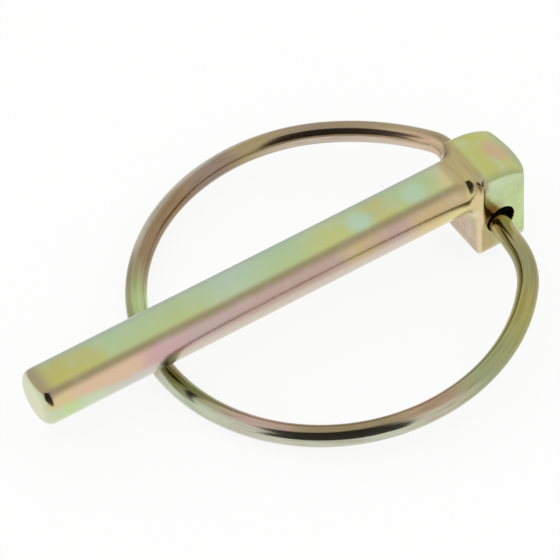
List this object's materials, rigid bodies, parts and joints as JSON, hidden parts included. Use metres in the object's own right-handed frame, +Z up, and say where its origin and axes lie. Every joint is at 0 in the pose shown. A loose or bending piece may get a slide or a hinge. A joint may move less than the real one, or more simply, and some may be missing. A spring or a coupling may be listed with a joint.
{
  "type": "lynch pin",
  "caption": "Lynch pin: round steel shank with a pressed flat and a tall rectangular head, and a spring-wire ring that swings in a cross hole through the head.",
  "frame": {"origin": "middle of the footprint, on the table", "axes": "+X from the tip of the shank towards its head, +Y across the shank along the cross hole, +Z up"},
  "size_m": [0.0458, 0.0338, 0.0098],
  "materials": {
    "pin_plating": "bright zinc plate with an iridescent yellow chromate film",
    "ring_plating": "drawn wire, zinc plated, with a yellow chromate film"
  },
  "bodies": {
    "pin": {"pin": "pin_plating"},
    "ring": {"ring": "ring_plating"}
  },
  "joints": [
    {"name": "ring_hinge", "type": "hinge", "parent": "pin", "child": "ring", "pos_m": [0.01972, 0, 0.00447], "axis": [0, -1, 0], "range_deg": [-1.95, 346.3]}
  ]
}
